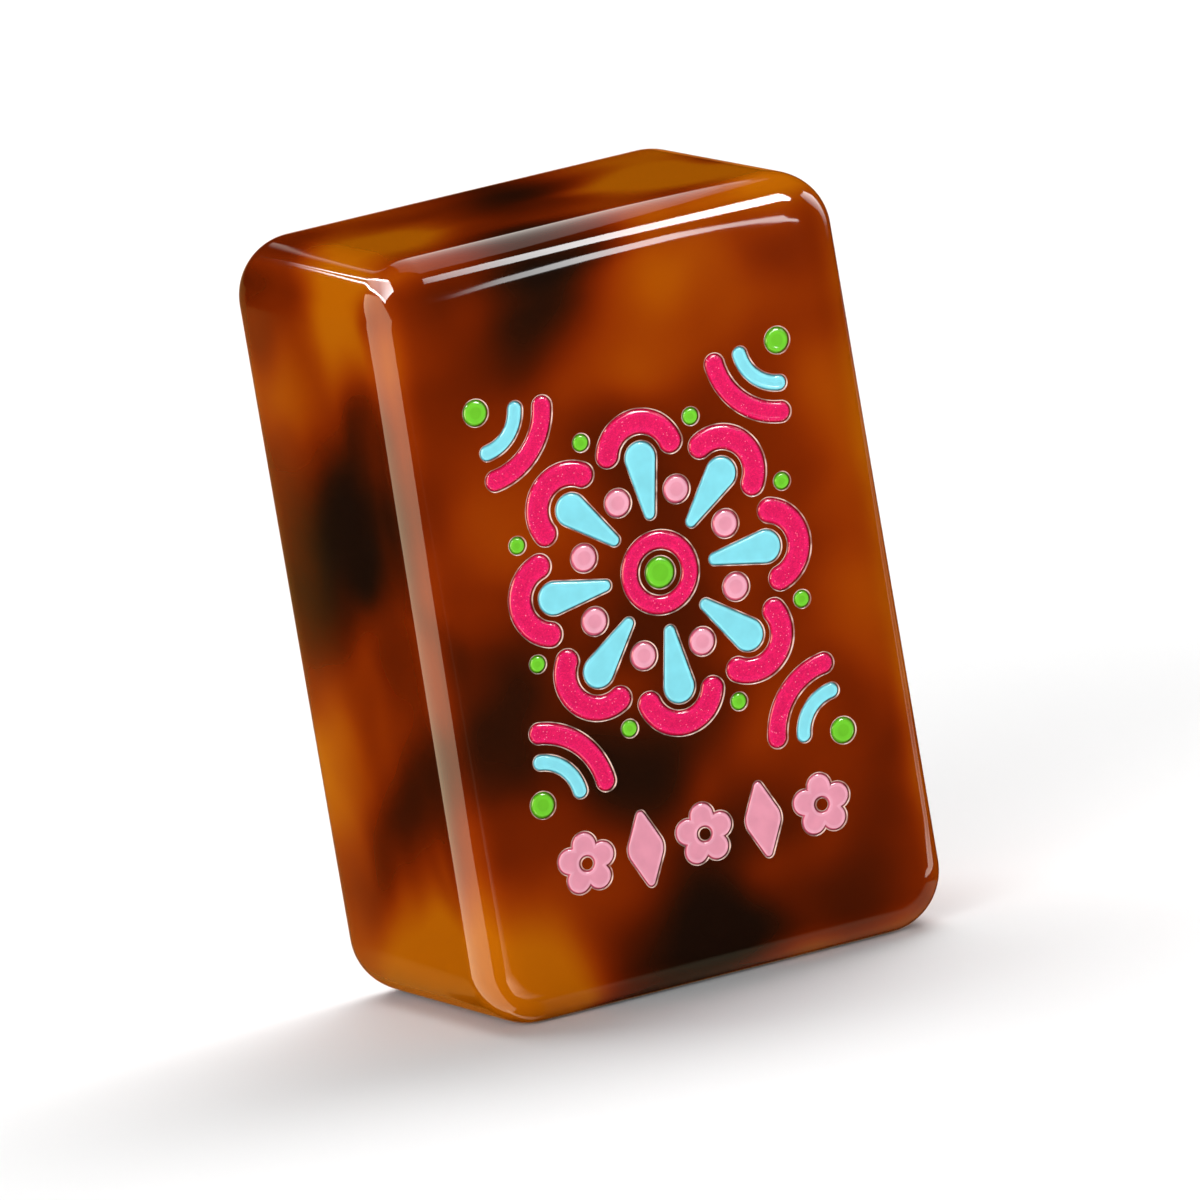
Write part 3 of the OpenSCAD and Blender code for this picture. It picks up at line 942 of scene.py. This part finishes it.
# The photograph's camera: its place, the point that it looks at, its roll in degrees, its lens and film, and
# how near and far it sees in metres
CAMERA_PLACE = (-316.74, -767.98, 161.37)
CAMERA_AIM = (0.232, -0.233, 14.285)
CAMERA_ROLL = 9.745
CAMERA_LENS = 658.2
FILM_WIDTH = 36.0
CAMERA_CLIP = (0.05, 10.0)


def shown_as_white(tree):
    """One for rays that see the background: from the camera, or by way of gloss or glass."""
    path = add_node(tree, "LightPath").outputs
    eye = calc(tree, "MAXIMUM", path["Is Camera Ray"], path["Is Glossy Ray"])
    return calc(tree, "MAXIMUM", eye, path["Is Transmission Ray"])


def add_stage(mesh, material):
    """Adds a thing around the tile that isn't part of it."""
    mesh.materials.append(material)
    thing = link(bpy.data.objects.new(mesh.name, mesh))
    return thing


def leave_to_gloss(thing):
    """Hides a thing from the camera, from diffuse light and from shadows, so that only gloss mirrors it."""
    thing.visible_camera = False
    thing.visible_diffuse = False
    thing.visible_shadow = False


def make_floor():
    """White floor that shows as white, apart from the tile's shadow."""
    material, tree = empty_material("white_floor")
    matt = add_node(tree, "BsdfDiffuse", {"Color": FLOOR_COLOUR})
    glow = add_node(tree, "Emission", {"Color": WHITE, "Strength": FLOOR_GLOW})
    dark = add_node(tree, "Emission", {"Color": BLACK, "Strength": 0.0})
    lift = add_node(tree, "MixShader", {0: shown_as_white(tree), 1: dark.outputs[0], 2: glow.outputs[0]})
    both = add_node(tree, "AddShader", {0: matt.outputs[0], 1: lift.outputs[0]})
    add_node(tree, "OutputMaterial", {"Surface": both.outputs[0]})
    reach = FLOOR_REACH * MM
    corners = [(-reach, -reach, 0), (reach, -reach, 0), (reach, reach, 0), (-reach, reach, 0)]
    mesh = bpy.data.meshes.new("floor")
    mesh.from_pydata(corners, [], [(0, 1, 2, 3)])
    floor = add_stage(mesh, material)
    floor.visible_glossy = False


def make_black_tent():
    """Black cloth all round that only the gloss mirrors, so the faces keep their depth of colour."""
    material, tree, shader = new_material("black_cloth")
    set_inputs(tree, shader, {"Base Color": BLACK, "Specular IOR Level": 0.0})
    bm = bmesh.new()
    bmesh.ops.create_icosphere(bm, subdivisions=3, radius=TENT_R * MM)
    mesh = bpy.data.meshes.new("black_tent")
    bm.to_mesh(mesh)
    bm.free()
    leave_to_gloss(add_stage(mesh, material))


def hang_cloth(name, axis, place, colour, rows):
    """A glowing cloth on a plane across one axis. It is dark for light that a matt surface has scattered."""
    material, tree = empty_material(name)
    scattered = add_node(tree, "LightPath").outputs["Diffuse Depth"]
    direct = calc(tree, "LESS_THAN", scattered, 1.0)
    level = add_node(tree, "Attribute", attribute_name="level").outputs["Fac"]
    glow = add_node(tree, "Emission", {"Color": colour, "Strength": calc(tree, "MULTIPLY", level, direct)})
    add_node(tree, "OutputMaterial", {"Surface": glow.outputs[0]})
    points, levels, faces = [], [], []
    for row in rows:
        for first, second, brightness in row:
            at = [first, second]
            at.insert("xyz".index(axis), place)
            points.append([v * MM for v in at])
            levels.append(brightness)
    wide = len(rows[0])
    for i in range(len(rows) - 1):
        for k in range(wide - 1):
            a = i * wide + k
            faces.append((a, a + 1, a + wide + 1, a + wide))
    mesh = bpy.data.meshes.new(name)
    mesh.from_pydata(points, [], faces)
    mesh.attributes.new("level", "FLOAT", "POINT").data.foreach_set("value", levels)
    leave_to_gloss(add_stage(mesh, material))


def add_soft_sun(name, azimuth, elevation, spread, level):
    """Wide soft light from one side, left out of the gloss."""
    lamp = bpy.data.lights.new(name, "SUN")
    lamp.angle = math.radians(spread)
    lamp.energy = level * math.pi
    sun = link(bpy.data.objects.new(name, lamp))
    az, el = math.radians(azimuth), math.radians(elevation)
    way = Vector((math.sin(az) * math.cos(el), -math.cos(az) * math.cos(el), math.sin(el)))
    sun.location = way * SUN_DISTANCE * MM
    sun.rotation_euler = way.to_track_quat("Z", "Y").to_euler()
    sun.visible_glossy = False


def make_lights():
    """Soft even light on all sides, and the cloths that the gloss mirrors."""
    world = bpy.data.worlds.new("studio")
    world.use_nodes = True
    tree = world.node_tree
    level = map_range(tree, shown_as_white(tree), (0.0, 1.0), (WORLD_LEVEL, 1.0))
    set_inputs(tree, tree.nodes["Background"], {"Color": WHITE, "Strength": level})
    bpy.context.scene.world = world
    for name, values in SUNS.items():
        add_soft_sun(name, *values)
    for name, values in CLOTHS.items():
        hang_cloth(name, *values)


def make_camera():
    """The photograph's camera: far away, long lens, rolled clockwise about the line of sight."""
    place = Vector(CAMERA_PLACE) * MM
    aim = Vector(CAMERA_AIM) * MM
    data = bpy.data.cameras.new("photo_camera")
    data.sensor_width = FILM_WIDTH
    data.lens = CAMERA_LENS
    data.clip_start, data.clip_end = CAMERA_CLIP
    camera = link(bpy.data.objects.new("photo_camera", data))
    upright = (aim - place).to_track_quat("-Z", "Y").to_matrix()
    roll = Matrix.Rotation(-math.radians(CAMERA_ROLL), 3, "Z")
    camera.matrix_world = Matrix.Translation(place) @ (upright @ roll).to_4x4()
    bpy.context.scene.camera = camera


make_tile()
make_floor()
make_black_tent()
make_lights()
make_camera()
bpy.context.scene.view_settings.view_transform = "Standard"
